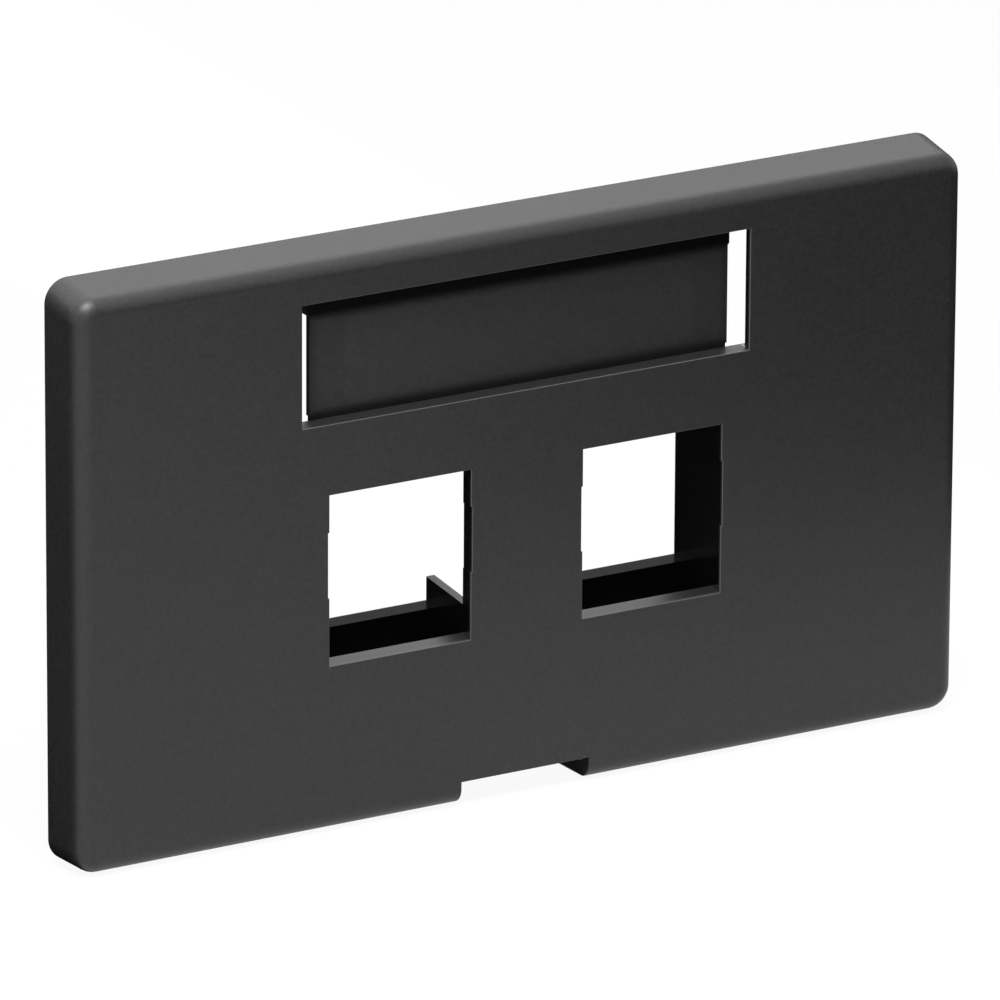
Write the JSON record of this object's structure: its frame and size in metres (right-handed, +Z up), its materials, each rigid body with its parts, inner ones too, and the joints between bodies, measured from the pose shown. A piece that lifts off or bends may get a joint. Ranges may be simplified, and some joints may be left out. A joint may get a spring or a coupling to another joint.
{
  "type": "keystone faceplate",
  "caption": "Black moulded faceplate for modular furniture, with square keystone jack ports, a label recess above them, a pry notch and rear snap arms.",
  "frame": {"origin": "centre of the footprint at the height of the plate's lower edge, upright as it is when fitted", "axes": "+X along the width to the viewer's right, +Y from the front face towards the back, +Z up; the front face looks along -Y"},
  "size_m": [0.0932, 0.0104, 0.0555],
  "materials": {
    "faceplate": "charcoal black ABS with a fine matte moulded grain, smoother inside the openings"
  },
  "bodies": {
    "root": {"faceplate": "faceplate"}
  },
  "joints": []
}
